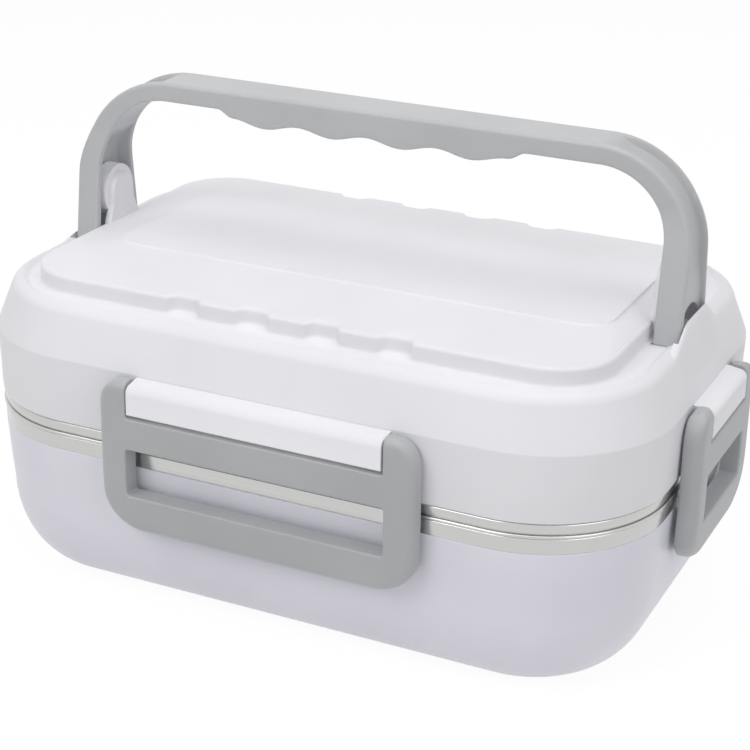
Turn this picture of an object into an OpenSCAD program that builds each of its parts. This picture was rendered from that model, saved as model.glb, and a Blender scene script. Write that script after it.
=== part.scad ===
// Electric lunch box: heated base, lift-out steel tray, latched lid, folding handle.
// Millimetres. Origin under the middle of the body on the floor, +X along the long side, +Z up.

/* [Body] */
// length of the body at the lid edge
body_length = 235; // [228:1:242]
// width of the body at the lid edge
body_width = 157.8; // [154:0.2:162]
// plan radius of the body corners at the lid edge
corner_radius = 43.4; // [42:0.2:45]
// wall of the moulded shells
shell_wall = 2.2; // [1.8:0.1:2.4]

/* [Base] */
// height of the shell floor over the table
floor_lift = 0.8; // [0.6:0.1:1]
// height where the shell meets the steel band
base_top = 54.1; // [53:0.1:56]
// height of the rounded lower edge
base_round_height = 29.8; // [28:0.1:31]
// how far the lower edge rounds inwards
base_round_width = 21.8; // [20:0.1:23]
// draft of the side wall
base_draft = 1.7; // [1.2:0.1:2]
// height of the tongue inside the steel band
tongue_height = 4; // [3.4:0.1:4.1]

/* [Bottom cover] */
// thickness of the cover
cover_thickness = 2.4; // [2.2:0.1:2.6]
// how far the cover reaches past the corner centres
cover_reach = 8.7; // [8.2:0.1:9.2]
// width of the ledge that the cover sits on
ledge_width = 4; // [3.4:0.1:4.4]
// gap round the cover
cover_gap = 0.3; // [0.25:0.05:0.5]
// radius of a foot
foot_radius = 6; // [5:0.5:7]
// distance of the feet from the middle along the length
foot_x = 55; // [50:1:60]
// distance of the feet from the middle along the width
foot_y = 30; // [26:1:32]
// radius of the cover screws
screw_radius = 1.5; // [1.4:0.1:1.6]
// radius of a cover screw head
screw_head = 3; // [2.7:0.1:3.2]
// length of a cover screw under its head
screw_length = 6.2; // [5.6:0.1:6.4]
// radius of the screw bosses
boss_radius = 6; // [5:0.5:6.5]
// height of the screw bosses
boss_height = 7; // [6.8:0.1:7.4]

/* [Heater] */
// half length of the heat-spreading plate
spreader_half_length = 60; // [56:1:64]
// half width of the heat-spreading plate
spreader_half_width = 36; // [33:1:38]
// thickness of the heat-spreading plate
spreader_thickness = 3; // [2.8:0.1:3.1]
// length of the heater
heater_length = 60; // [50:2:64]
// width of the heater
heater_width = 24; // [22:1:25]
// thickness of the heater
heater_thickness = 4; // [3.6:0.1:4.1]
// width of the clamp across the heater
clamp_width = 14; // [12:0.5:16]
// thickness of the clamp sheet
clamp_sheet = 0.8; // [0.7:0.05:0.9]
// radius of the thermostat
thermostat_radius = 7.5; // [7:0.5:8]
// height of the thermostat
thermostat_height = 5.2; // [5:0.1:5.4]
// radius of the thermal fuse
fuse_radius = 1.9; // [1.7:0.1:2]
// length of the fuse body
fuse_length = 12; // [11:0.5:13]
// radius of the wires
wire_radius = 0.85; // [0.7:0.05:0.9]

/* [Steel pot] */
// thickness of the steel sheet
sheet = 0.7; // [0.6:0.05:0.8]
// height of the steel band below the rim line
band_height = 5.1; // [4.8:0.1:5.4]
// underside of the pot floor
pot_floor = 14.4; // [14:0.1:15]
// distance from the outer corner radius to the pot wall
pot_inset = 9.4; // [9:0.1:10]

/* [Tray] */
// height of the tray rim above the steel band
rim_height = 4.7; // [4.4:0.1:5]
// gap between tray wall and pot wall
tray_gap = 0.6; // [0.5:0.05:0.8]
// gap under the tray floor
tray_floor_gap = 0.3; // [0.25:0.05:0.4]

/* [Lid] */
// height of the straight skirt
skirt_height = 22.5; // [21.5:0.1:23.5]
// height of the shoulder above the skirt
shoulder_height = 16.6; // [16:0.1:17.2]
// inward run of the shoulder
shoulder_run = 9.5; // [9:0.1:10]
// depth of the gutter round the platform
gutter_depth = 1.5; // [1.2:0.1:1.8]
// half length of the raised platform
platform_half_length = 100.5; // [100.2:0.1:100.8]
// half width of the raised platform
platform_half_width = 62.3; // [61.5:0.1:63]
// plan radius of the platform corners
platform_radius = 20.5; // [19:0.5:22]
// height of the platform edge above the gutter
platform_step = 6; // [5.6:0.1:6.2]
// height of the top panel above the platform edge
panel_rise = 3.5; // [3:0.1:3.6]
// half width of the top panel
panel_half_width = 31.2; // [29:0.1:32]
// spacing of the four finger scallops
scallop_pitch = 24.6; // [23:0.1:26]
// radius of a scallop
scallop_radius = 6; // [5:0.5:6.5]

/* [Liner and seal] */
// underside of the flat liner panel
liner_panel = 84; // [82:0.5:86]
// thickness of the liner
liner_wall = 1.8; // [1.6:0.1:2]
// width of the seal ring
seal_width = 5; // [4.4:0.1:5.2]

/* [Latches] */
// half width of the long-side latches
long_latch_half = 55; // [52:0.5:58]
// half width of the short-side latches
short_latch_half = 29.5; // [28:0.5:31]
// width of the posts beside the window
latch_post = 10; // [9:0.5:11]
// thickness of a latch
latch_thickness = 6.4; // [6:0.1:6.6]
// gap between a latch and the lid edge
latch_gap = 1; // [1:0.1:1.3]
// lower edge of a latch
latch_bottom = 33.7; // [33:0.1:35]
// height of the hinge pin
latch_pin_height = 83.2; // [82.8:0.1:83.6]
// radius of the hinge pins
latch_pin_radius = 1.5; // [1.3:0.1:1.7]

/* [Handle] */
// top of the handle when upright
handle_top = 160.6; // [159:0.1:162]
// half width across the outer faces of the legs
handle_half = 110.7; // [110.4:0.1:111]
// thickness of a leg seen from the front
leg_thickness = 8.7; // [8.5:0.1:8.9]
// depth of the plain bar
bar_depth = 17.6; // [17:0.2:18]
// thickness of the plain bar
bar_thickness = 6.5; // [6:0.1:7]
// height of the finger waves at the middle of the bar
wave_height = 4.6; // [4:0.1:4.8]
// outer radius of the two upper corners
handle_corner = 32.5; // [31:0.5:34]
// height of the handle pivot
handle_pivot = 117.5; // [117.2:0.1:118]
// radius of the pivot pins
handle_pin_radius = 2.5; // [2.2:0.1:2.7]
// running clearance of every pin
pin_clearance = 0.05; // [0.03:0.01:0.08]

/* [Power inlet] */
// height of the middle of the inlet
inlet_height = 10.7; // [10.5:0.1:10.9]
// width of the inlet body
inlet_width = 22; // [21:0.5:23]
// height of the inlet body
inlet_body_height = 11.6; // [11.2:0.1:11.8]
// depth of the inlet body
inlet_depth = 11.5; // [11:0.5:12]
// how far the contacts reach out of the back of the inlet
contact_tail = 4.5; // [4:0.5:5]
// spacing of the two contact pins
contact_spacing = 8.6; // [8.4:0.1:8.8]
// radius of a contact pin
contact_radius = 1.18; // [1.1:0.02:1.2]

/* [Hidden] */
$fn = 96;
centre_x = body_length / 2 - corner_radius;
centre_y = body_width / 2 - corner_radius;
band_radius = corner_radius - 0.5;
rim_line = base_top + band_height;
lid_edge = rim_line + rim_height;
crease = lid_edge + skirt_height;
crease_radius = corner_radius + 0.5;
shoulder_top = crease + shoulder_height;
gutter_floor = shoulder_top - gutter_depth;
platform_edge = gutter_floor + platform_step;
panel_top = platform_edge + panel_rise;
base_wall_low = band_radius - base_draft;
base_flat = base_wall_low - base_round_width;
round_centre = floor_lift + base_round_height;
cover_top = floor_lift + cover_thickness;
cover_edge = cover_reach + cover_gap;
ledge_inner = cover_edge - ledge_width;
ledge_top = cover_top + 2;
tongue_outer = band_radius - sheet - 0.3;
tongue_inner = tongue_outer - 1.3;
pot_wall = corner_radius - pot_inset;
pot_round_width = 22;
pot_round_height = 20;
pot_flat = pot_wall - pot_round_width;
tray_wall = pot_wall - sheet - tray_gap;
tray_floor = pot_floor + sheet + tray_floor_gap;
shoulder_start = 20;
shoulder_a = shoulder_run / cos(shoulder_start);
shoulder_b = shoulder_height / (1 - sin(shoulder_start));
shoulder_z = shoulder_top - shoulder_b;
gutter_radius = crease_radius - shoulder_run;
liner_radius = corner_radius - shell_wall - 0.3;
liner_flange = lid_edge + 6.6;
liner_flange_top = liner_flange + liner_wall;
groove_inner = liner_radius - 7.3;
lip_bottom = lid_edge + 2.6;
latch_back = latch_gap;
latch_axis = latch_back + latch_thickness / 2;
latch_face = latch_back + latch_thickness;
pin_end = 5.2;
bar_top = latch_pin_height - 9;
lug_low = bar_top + 1.2;
window_low = latch_bottom + 13.5;
window_high = bar_top - 10.8;
leg_inner = handle_half - leg_thickness;
flare_start = 143;
flare_slope = 0.1275;
web_inner = leg_inner + 5.1;
web_outer = handle_half - 1.8;
flange = 2.5;
foot_bottom = gutter_floor;
foot_half = bar_depth / 2 + flare_slope * (flare_start - foot_bottom);
foot_sweep = norm([foot_half, handle_pivot - foot_bottom]);
pocket_half = foot_half + 0.6;
pocket_floor = handle_pivot - foot_sweep - 0.6;
tab_radius = 9.5;
tab_thickness = 2.4;
tab_outer = leg_inner - 0.4;
tab_inner = min(platform_half_length - 1.3, tab_outer - tab_thickness);
groove_end = handle_half - 26.7;
lip_top = gutter_floor + 4.6;
inlet_face = body_length / 2 - 4.5;
inlet_low = inlet_height - inlet_body_height / 2;
inlet_high = inlet_height + inlet_body_height / 2;
inlet_end = inlet_face - inlet_depth;
contact_end = inlet_end - contact_tail;
plate_low = pot_floor - spreader_thickness;
heater_low = plate_low - heater_thickness;
clamp_y = heater_width / 2 + 6;
fuse_x = -heater_length / 2 - 14;
thermostat_x = heater_length / 2 + thermostat_radius + 7.5;
wire_height = heater_low + 0.6;
white = [0.91, 0.91, 0.93];
pale = [0.82, 0.84, 0.88];
grey = [0.62, 0.63, 0.63];
steel = [0.75, 0.74, 0.72];
dark = [0.2, 0.2, 0.22];

function arc(x, y, a, b, from, to, steps) =
    [for (i = [0:steps]) let (t = from + (to - from) * i / steps) [x + a * cos(t), y + b * sin(t)]];

function half_depth(z) = bar_depth / 2 + flare_slope * max(0, flare_start - z);

function wave(x) = 0.5 - 0.5 * cos(360 * (abs(x) / scallop_pitch));

function under_bar(x) =
    let (fade = min(1, max(0, (abs(x) - 2 * scallop_pitch) / 6)))
    handle_top - bar_thickness - (1 - fade) * (wave_height * 0.55 + wave_height * 0.45 * wave(x));

// Carries a profile, drawn outwards from the corner centres, round the four sides.
module swept() {
    for (i = [0:3]) {
        sx = i == 0 || i == 3 ? 1 : -1;
        sy = i < 2 ? 1 : -1;
        translate([sx * centre_x, sy * centre_y, 0])
            rotate([0, 0, 90 * i])
                rotate_extrude(angle = 90)
                    children();
    }
    for (turn = [0, 180]) {
        rotate([0, 0, turn])
            translate([centre_x, centre_y, 0])
                rotate([90, 0, 0])
                    linear_extrude(2 * centre_y)
                        children();
        rotate([0, 0, turn])
            translate([-centre_x, centre_y, 0])
                rotate([90, 0, 90])
                    linear_extrude(2 * centre_x)
                        children();
    }
}

module middle(low, high) {
    translate([-centre_x, -centre_y, low])
        cube([2 * centre_x, 2 * centre_y, high - low]);
}

module plate(half_x, half_y, r, low, high) {
    translate([0, 0, low])
        linear_extrude(high - low)
            polygon(concat(
                arc(half_x - r, half_y - r, r, r, 0, 90, 12),
                arc(r - half_x, half_y - r, r, r, 90, 180, 12),
                arc(r - half_x, r - half_y, r, r, 180, 270, 12),
                arc(half_x - r, r - half_y, r, r, 270, 360, 12)));
}

module four(x, y) {
    for (sx = [-1, 1])
        for (sy = [-1, 1])
            translate([sx * x, sy * y, 0])
                children();
}

module along_x(y, z, r, from, to) {
    translate([from, y, z])
        rotate([0, 90, 0])
            cylinder(r = r, h = to - from);
}

module both_ends() {
    children();
    mirror([1, 0, 0])
        children();
}

// ---- base ----

module base_profile() {
    polygon(concat(
        [[cover_edge, floor_lift]],
        arc(base_flat, round_centre, base_round_width, base_round_height, 270, 360, 14),
        [[band_radius, base_top], [tongue_outer, base_top], [tongue_outer, base_top + tongue_height]],
        [[tongue_inner, base_top + tongue_height]],
        arc(base_flat, round_centre,
            base_round_width - shell_wall, base_round_height - shell_wall, 360, 270, 14),
        [[ledge_inner + 6, ledge_top], [ledge_inner, ledge_top]],
        [[ledge_inner, cover_top], [cover_edge, cover_top]]));
}

module base_shell() {
    color(pale)
    difference() {
        union() {
            swept()
                base_profile();
            four(centre_x, centre_y)
                translate([0, 0, cover_top])
                    cylinder(r = boss_radius, h = boss_height);
            translate([-inlet_face, -inlet_width / 2 - 2.5, inlet_low - 2.3])
                cube([inlet_depth, inlet_width + 5, inlet_high - inlet_low + 4.6]);
        }
        four(centre_x, centre_y)
            translate([0, 0, cover_top - 1])
                cylinder(r = screw_radius + pin_clearance, h = boss_height);
        translate([-inlet_face - 1, -inlet_width / 2, inlet_low])
            cube([inlet_depth + 2, inlet_width, inlet_high - inlet_low]);
    }
}

module bottom_cover() {
    color(pale)
    difference() {
        plate(centre_x + cover_reach, centre_y + cover_reach, cover_reach, floor_lift, cover_top);
        four(centre_x, centre_y)
            translate([0, 0, floor_lift - 1]) {
                cylinder(r = screw_radius + 0.3, h = 6);
                cylinder(r = screw_head + 0.3, h = 2.4);
            }
        four(foot_x, foot_y)
            cylinder(r = foot_radius + 0.3, h = floor_lift + 1.2);
    }
}

module cover_screws() {
    color(steel)
    four(centre_x, centre_y)
        translate([0, 0, floor_lift + 0.1]) {
            difference() {
                cylinder(r = screw_head, h = 1.3);
                for (turn = [0, 90])
                    rotate([0, 0, turn])
                        translate([-1.6, -0.35, -1])
                            cube([3.2, 0.7, 1.7]);
            }
            translate([0, 0, 1.3])
                cylinder(r = screw_radius, h = screw_length);
        }
}

module rubber_feet() {
    color(dark)
    four(foot_x, foot_y)
        cylinder(r = foot_radius, h = floor_lift + 1.2);
}

module pot_profile() {
    polygon(concat(
        [[0, pot_floor]],
        arc(pot_flat, pot_floor + pot_round_height, pot_round_width, pot_round_height, 270, 360, 12),
        [[pot_wall, rim_line - sheet], [band_radius - sheet, rim_line - sheet]],
        [[band_radius - sheet, base_top]],
        [[band_radius, base_top], [band_radius, rim_line], [pot_wall - sheet, rim_line]],
        arc(pot_flat, pot_floor + pot_round_height,
            pot_round_width - sheet, pot_round_height - sheet, 360, 270, 12),
        [[0, pot_floor + sheet]]));
}

module steel_pot() {
    color(steel) {
        swept()
            pot_profile();
        middle(pot_floor, pot_floor + sheet);
    }
}

// ---- heater ----

module heating_plate() {
    color(steel)
    difference() {
        plate(spreader_half_length, spreader_half_width, 10, plate_low, pot_floor);
        for (sy = [-1, 1])
            translate([0, sy * clamp_y, plate_low - 1])
                cylinder(r = 1.45, h = spreader_thickness + 0.2);
    }
}

module ptc_heater() {
    color([0.85, 0.72, 0.45])
    translate([-heater_length / 2, -heater_width / 2, heater_low])
        cube([heater_length, heater_width, heater_thickness]);
}

module heater_clamp() {
    color(steel)
    difference() {
        union() {
            translate([-clamp_width / 2, -clamp_y - 4, heater_low - clamp_sheet])
                cube([clamp_width, 2 * clamp_y + 8, clamp_sheet]);
            for (sy = [-1, 1])
                translate([-clamp_width / 2, sy * clamp_y - 4, heater_low])
                    cube([clamp_width, 8, heater_thickness]);
        }
        for (sy = [-1, 1])
            translate([0, sy * clamp_y, heater_low - 2])
                cylinder(r = 1.5, h = heater_thickness + 4);
    }
}

module clamp_screws() {
    color(steel)
    for (sy = [-1, 1])
        translate([0, sy * clamp_y, heater_low - clamp_sheet - 1.1]) {
            cylinder(r = 2.6, h = 1.1);
            cylinder(r = 1.4, h = heater_thickness + 3.6);
        }
}

module thermostat() {
    color(dark)
    translate([thermostat_x, 0, plate_low - thermostat_height]) {
        cylinder(r = thermostat_radius, h = thermostat_height);
        for (sx = [-1, 1])
            translate([sx * 4 - 1.5, thermostat_radius - 1.2, 1.6])
                cube([3, 3.2, 0.8]);
    }
}

module thermal_fuse() {
    color([0.85, 0.85, 0.8])
    translate([fuse_x, 0, plate_low - fuse_radius - 0.3])
        rotate([90, 0, 0]) {
            cylinder(r = fuse_radius, h = fuse_length, center = true);
            cylinder(r = 0.5, h = fuse_length + 10, center = true);
        }
}

// One wire through a list of points; each run reaches a little past its bend.
module wire(points) {
    last = len(points) - 2;
    for (i = [0:last]) {
        run = points[i + 1] - points[i];
        translate(points[i])
            rotate([0, acos(run[2] / norm(run)), atan2(run[1], run[0])])
                cylinder(r = wire_radius, h = norm(run) + (i < last ? 0.6 : 0), $fn = 8);
    }
}

module wiring() {
    start = -contact_end + 0.4;
    side = contact_spacing / 2;
    lead = fuse_length / 2 + 5.3;
    fuse_z = plate_low - fuse_radius - 0.3;
    tab_y = thermostat_radius + 2.3;
    tab_z = plate_low - thermostat_height + 2;
    heater_end = heater_length / 2 + 0.3;
    heater_y = heater_width / 4;
    far_y = heater_width + 6;
    color([0.75, 0.2, 0.18]) {
        wire([
            [start, -side, inlet_height], [start + 8.6, -side, wire_height],
            [fuse_x - 16, -heater_width, wire_height],
            [fuse_x, -lead - 6.7, fuse_z], [fuse_x, -lead, fuse_z]]);
        wire([
            [fuse_x, lead, fuse_z], [fuse_x, lead + 6.7, fuse_z],
            [fuse_x + 8, heater_y, fuse_z + 0.2], [-heater_end, heater_y, fuse_z + 0.2]]);
    }
    color([0.2, 0.25, 0.6]) {
        wire([
            [start, side, inlet_height], [start + 8.6, side, wire_height], [fuse_x - 16, far_y, wire_height],
            [thermostat_x + 4, far_y, wire_height], [thermostat_x + 4, tab_y, tab_z]]);
        wire([
            [thermostat_x - 4, tab_y, tab_z], [thermostat_x - 4, tab_y + 6.2, tab_z],
            [heater_end + 3.7, heater_y, fuse_z + 0.2], [heater_end, heater_y, fuse_z + 0.2]]);
    }
}

// ---- power inlet ----

module power_inlet() {
    color(dark)
    difference() {
        translate([-inlet_face, -inlet_width / 2, inlet_low])
            cube([inlet_depth, inlet_width, inlet_high - inlet_low]);
        translate([0, 0, inlet_height]) {
            for (sy = [-1, 1])
                along_x(sy * 3.9, 0, 4, -inlet_face - 1, -inlet_face + 9.5);
            translate([-inlet_face - 1, -3.9, -4])
                cube([10.5, 7.8, 8]);
            for (sy = [-1, 1])
                along_x(sy * contact_spacing / 2, 0, contact_radius + 0.02, -inlet_face, -inlet_end + 1);
        }
    }
}

module inlet_contacts() {
    color(steel)
    for (sy = [-1, 1])
        along_x(sy * contact_spacing / 2, inlet_height, contact_radius, -inlet_face + 1.5, -contact_end);
}

// ---- tray ----

module tray_profile() {
    low = pot_floor + pot_round_height;
    a = tray_wall - pot_flat;
    b = low - tray_floor;
    polygon(concat(
        [[0, tray_floor]],
        arc(pot_flat, low, a, b, 270, 360, 12),
        [[tray_wall, lid_edge - sheet], [band_radius - sheet, lid_edge - sheet]],
        [[band_radius - sheet, rim_line + 1.1]],
        [[band_radius - 1.2, rim_line + 0.8], [band_radius - 1.2, rim_line], [band_radius + 0.2, rim_line]],
        [[band_radius + 0.4, rim_line + 0.3], [band_radius + 0.4, rim_line + 0.8]],
        [[band_radius, rim_line + 1.1]],
        [[band_radius, lid_edge], [tray_wall - sheet, lid_edge]],
        arc(pot_flat, low, a - sheet, b - sheet, 360, 270, 12),
        [[0, tray_floor + sheet]]));
}

module inner_tray() {
    color(steel) {
        swept()
            tray_profile();
        middle(tray_floor, tray_floor + sheet);
    }
}

// ---- lid ----

module lid_profile() {
    wall = shell_wall;
    polygon(concat(
        [[0, gutter_floor], [0, gutter_floor - wall], [gutter_radius - 2, gutter_floor - wall]],
        arc(gutter_radius, shoulder_z,
            shoulder_a - wall, shoulder_b - wall - gutter_depth, 90, shoulder_start, 8),
        [[corner_radius - wall, liner_flange_top + 1.3], [liner_radius - 1, liner_flange_top + 1.3]],
        [[liner_radius - 1, liner_flange_top], [corner_radius - wall, liner_flange_top]],
        [[corner_radius - wall, lip_bottom], [liner_radius - 0.6, lip_bottom]],
        [[liner_radius - 0.6, lip_bottom - 0.8]],
        [[corner_radius - wall, lip_bottom - 1.5], [corner_radius - wall, lid_edge]],
        [[corner_radius, lid_edge]],
        arc(gutter_radius, shoulder_z, shoulder_a, shoulder_b, shoulder_start, 90, 8),
        [[gutter_radius - 1, gutter_floor]]));
}

module platform_block(inset, drop) {
    low = gutter_floor - 3;
    top = panel_top - drop;
    edge = platform_edge - drop;
    hx = platform_half_length - inset;
    hy = platform_half_width - inset;
    intersection() {
        plate(hx, hy, platform_radius - inset, low, top);
        translate([-hx - 1, 0, 0])
            rotate([90, 0, 90])
                linear_extrude(2 * hx + 2)
                    polygon([
                        [-hy, low - 1], [hy, low - 1], [hy, edge],
                        [panel_half_width, top], [-panel_half_width, top], [-hy, edge]]);
        translate([0, hy + 1, 0])
            rotate([90, 0, 0])
                linear_extrude(2 * hy + 2)
                    polygon([
                        [-hx, low - 1], [hx, low - 1], [hx, edge],
                        [hx - 8, top], [20 - hx, top], [-hx, edge]]);
    }
}

module scallops() {
    for (side = [-1, 1])
        for (i = [-1.5:1:1.5])
            translate([i * scallop_pitch, side * (platform_half_width + 3.8), platform_edge - 2])
                sphere(r = scallop_radius);
}

module lug(half, side) {
    rotate([90, 0, 90])
        translate([0, 0, -half])
            linear_extrude(2 * half)
                polygon(concat(
                    [[side - 1, lug_low], [side + latch_face, lug_low]],
                    arc(side + latch_axis, latch_pin_height,
                        latch_thickness / 2, latch_thickness / 2, 0, 90, 6),
                    [[side - 1, crease + 1.4]]));
}

module lug_bore(half, side) {
    along_x(side + latch_axis, latch_pin_height, latch_pin_radius + pin_clearance, -half - 1, half + 1);
}

// Flat tab with a round boss that stands in the channel of a handle leg.
module handle_tab() {
    translate([tab_inner, 0, 0])
        rotate([90, 0, 90])
            linear_extrude(tab_outer - tab_inner)
                polygon(concat(
                    [[-tab_radius, gutter_floor + 3], [tab_radius, gutter_floor + 3]],
                    arc(0, handle_pivot, tab_radius, tab_radius, 0, 180, 16)));
    along_x(0, handle_pivot, tab_radius - 0.4, tab_outer - 0.5, web_inner - 1.8);
}

module pocket_wall() {
    inner = tab_inner + 0.3;
    translate([inner, -pocket_half - 2, pocket_floor - 2.2])
        cube([handle_half + 1.9 - inner, 2 * pocket_half + 4, gutter_floor - pocket_floor]);
}

// Raised lip outside a pocket, sloping down to the shoulder.
module pocket_lip() {
    inner = handle_half - 0.6;
    translate([0, pocket_half + 1, 0])
        rotate([90, 0, 0])
            linear_extrude(2 * pocket_half + 2)
                polygon([
                    [inner, gutter_floor - 3.8], [inner, lip_top], [inner + 2.3, lip_top],
                    [inner + 6.1, gutter_floor - 3.5], [inner + 4, gutter_floor - 6.3]]);
}

// The handle feet swing in round-bottomed pockets centred on the pivot.
module pocket_cut() {
    intersection() {
        along_x(0, handle_pivot, foot_sweep + 0.4, leg_inner - 0.4, handle_half + 0.5);
        translate([leg_inner - 1, -pocket_half - 4, pocket_floor - 1])
            cube([leg_thickness + 3, 2 * pocket_half + 8, lip_top + 2 - pocket_floor]);
    }
}

module lid_shell() {
    color(white)
    difference() {
        union() {
            swept()
                lid_profile();
            middle(gutter_floor - shell_wall, gutter_floor);
            difference() {
                platform_block(0, 0);
                scallops();
            }
            for (turn = [0, 180])
                rotate([0, 0, turn]) {
                    lug(long_latch_half - latch_post - 1, body_width / 2);
                    handle_tab();
                    pocket_wall();
                    pocket_lip();
                }
            for (turn = [90, 270])
                rotate([0, 0, turn])
                    lug(short_latch_half - latch_post - 1, body_length / 2);
        }
        platform_block(5, 2.2);
        for (turn = [0, 180])
            rotate([0, 0, turn]) {
                lug_bore(long_latch_half, body_width / 2);
                pocket_cut();
                along_x(0, handle_pivot, handle_pin_radius + pin_clearance, tab_inner - 9.2, handle_half);
            }
        for (turn = [90, 270])
            rotate([0, 0, turn])
                lug_bore(short_latch_half, body_length / 2);
    }
}

module lid_liner() {
    wall = liner_wall;
    color(white) {
        swept()
            polygon([
                [0, liner_panel], [groove_inner - wall, liner_panel], [groove_inner - wall, lip_bottom],
                [groove_inner, lip_bottom], [groove_inner, liner_flange],
                [liner_radius - wall, liner_flange], [liner_radius - wall, lip_bottom],
                [liner_radius, lip_bottom], [liner_radius, liner_flange_top],
                [groove_inner, liner_flange_top], [groove_inner, liner_panel + wall],
                [0, liner_panel + wall]]);
        middle(liner_panel, liner_panel + wall);
    }
}

module seal_ring() {
    in = groove_inner + (liner_radius - liner_wall - groove_inner - seal_width) / 2;
    color(dark)
    swept()
        polygon([
            [in, liner_flange], [in, lid_edge + 2], [in + 1, lid_edge],
            [in + seal_width - 1, lid_edge], [in + seal_width, lid_edge + 2],
            [in + seal_width, liner_flange]]);
}

module latch_pin(reach, side) {
    along_x(side + latch_axis, latch_pin_height, latch_pin_radius, -reach, reach);
}

module latch_pins() {
    color(steel) {
        for (turn = [0, 180])
            rotate([0, 0, turn])
                latch_pin(long_latch_half - pin_end, body_width / 2);
        for (turn = [90, 270])
            rotate([0, 0, turn])
                latch_pin(short_latch_half - pin_end, body_length / 2);
    }
}

// ---- latches ----

module latch(half, side) {
    top = latch_pin_height + latch_thickness / 2;
    inner = half - latch_post;
    difference() {
        union() {
            intersection() {
                translate([0, side + 20, 0])
                    rotate([90, 0, 0])
                        linear_extrude(40)
                            polygon(concat(
                                arc(half - 9.4, top - 9.4, 9.4, 9.4, 0, 90, 10),
                                arc(9.4 - half, top - 9.4, 9.4, 9.4, 90, 180, 10),
                                arc(14.5 - half, latch_bottom + 14.5, 14.5, 14.5, 180, 270, 12),
                                arc(half - 14.5, latch_bottom + 14.5, 14.5, 14.5, 270, 360, 12)));
                translate([-half - 1, 0, 0])
                    rotate([90, 0, 90])
                        linear_extrude(2 * half + 2)
                            polygon(concat(
                                arc(side + latch_axis, latch_pin_height,
                                    latch_thickness / 2, latch_thickness / 2, 0, 180, 14),
                                [[side + latch_back, latch_bottom]],
                                [[side + latch_face - 2, latch_bottom]],
                                [[side + latch_face, latch_bottom + 2]]));
            }
            for (sx = [-1, 1])
                translate([sx * (half - 5) - 3.6, side + latch_back - 0.7, base_top + 0.7])
                    cube([7.2, 1, 3.6]);
        }
        translate([-inner, side - 5, window_low])
            cube([2 * inner, 20, window_high - window_low]);
        translate([0.5 - inner, side - 5, bar_top])
            cube([2 * inner - 1, 20, 40]);
        along_x(
            side + latch_axis, latch_pin_height, latch_pin_radius + pin_clearance,
            pin_end - 0.3 - half, half - pin_end + 0.3);
    }
}

module latch_front() {
    color(grey)
    rotate([0, 0, 180])
        latch(long_latch_half, body_width / 2);
}

module latch_back() {
    color(grey)
    latch(long_latch_half, body_width / 2);
}

module latch_left() {
    color(grey)
    rotate([0, 0, 90])
        latch(short_latch_half, body_length / 2);
}

module latch_right() {
    color(grey)
    rotate([0, 0, 270])
        latch(short_latch_half, body_length / 2);
}

// ---- handle ----

module arch(half, top, r, low) {
    polygon(concat(
        [[half, low]],
        arc(half - r, top - r, r, r, 0, 90, 20),
        arc(r - half, top - r, r, r, 90, 180, 20),
        [[-half, low]]));
}

module upright(half) {
    translate([0, half, 0])
        rotate([90, 0, 0])
            linear_extrude(2 * half)
                children();
}

// Space within a given distance of the handle's front and back faces.
module side_limits(inset, low, high) {
    translate([-130, 0, 0])
        rotate([90, 0, 90])
            linear_extrude(260)
                polygon([
                    [half_depth(low) - inset, low], [half_depth(flare_start) - inset, flare_start],
                    [half_depth(high) - inset, high], [inset - half_depth(high), high],
                    [inset - half_depth(flare_start), flare_start], [inset - half_depth(low), low]]);
}

module handle() {
    color(grey)
    difference() {
        intersection() {
            upright(20)
                difference() {
                    arch(handle_half, handle_top, handle_corner, foot_bottom);
                    polygon(concat(
                        [[-leg_inner, foot_bottom - 1]],
                        arc(22.5 - leg_inner, handle_top - bar_thickness - 22.5, 22.5, 22.5, 180, 90, 16),
                        [for (x = [-56:2:56]) [x, under_bar(x)]],
                        arc(leg_inner - 22.5, handle_top - bar_thickness - 22.5, 22.5, 22.5, 90, 0, 16),
                        [[leg_inner, foot_bottom - 1]]));
                }
            side_limits(0, foot_bottom, handle_top);
        }
        both_ends() {
            difference() {
                intersection() {
                    translate([leg_inner - 1, -20, foot_bottom - 1])
                        cube([web_inner - leg_inner + 1, 40, 32]);
                    side_limits(flange, foot_bottom - 1, handle_top);
                }
                along_x(0, handle_pivot, 5, web_inner - 1.5, web_inner + 1);
            }
            along_x(0, foot_bottom + 29, 7.8, leg_inner - 1, web_inner);
            intersection() {
                upright(20)
                    difference() {
                        arch(handle_half + 1, handle_top + 1, handle_corner + 1, foot_bottom - 1);
                        arch(web_outer, handle_top - 1.8, handle_corner - 1.8, foot_bottom - 2);
                        translate([-handle_half - 2, foot_bottom - 1.5])
                            square([handle_half + 2 + groove_end, handle_top]);
                    }
                side_limits(flange, foot_bottom - 1, handle_top + 2);
            }
            along_x(0, foot_bottom - 0.2, 11, web_inner - 1, handle_half + 1);
            along_x(0, handle_pivot, handle_pin_radius + 0.02, web_inner - 3, web_outer - 0.6);
        }
    }
}

module handle_pins() {
    color(steel)
    both_ends()
        along_x(0, handle_pivot, handle_pin_radius, tab_inner + 0.2, web_outer - 0.6);
}

base_shell();
bottom_cover();
cover_screws();
rubber_feet();
steel_pot();
heating_plate();
ptc_heater();
heater_clamp();
clamp_screws();
thermostat();
thermal_fuse();
wiring();
power_inlet();
inlet_contacts();
inner_tray();
lid_shell();
lid_liner();
seal_ring();
latch_pins();
latch_front();
latch_back();
latch_left();
latch_right();
handle();
handle_pins();
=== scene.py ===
# Electric lunch box: pale heated base, steel rims, white lid with grey clips and carrying handle.
# Metres, +Z up, the box stands on z = 0 and its front faces -Y.
import math

import bmesh
import bpy
from mathutils import Matrix, Vector


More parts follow.
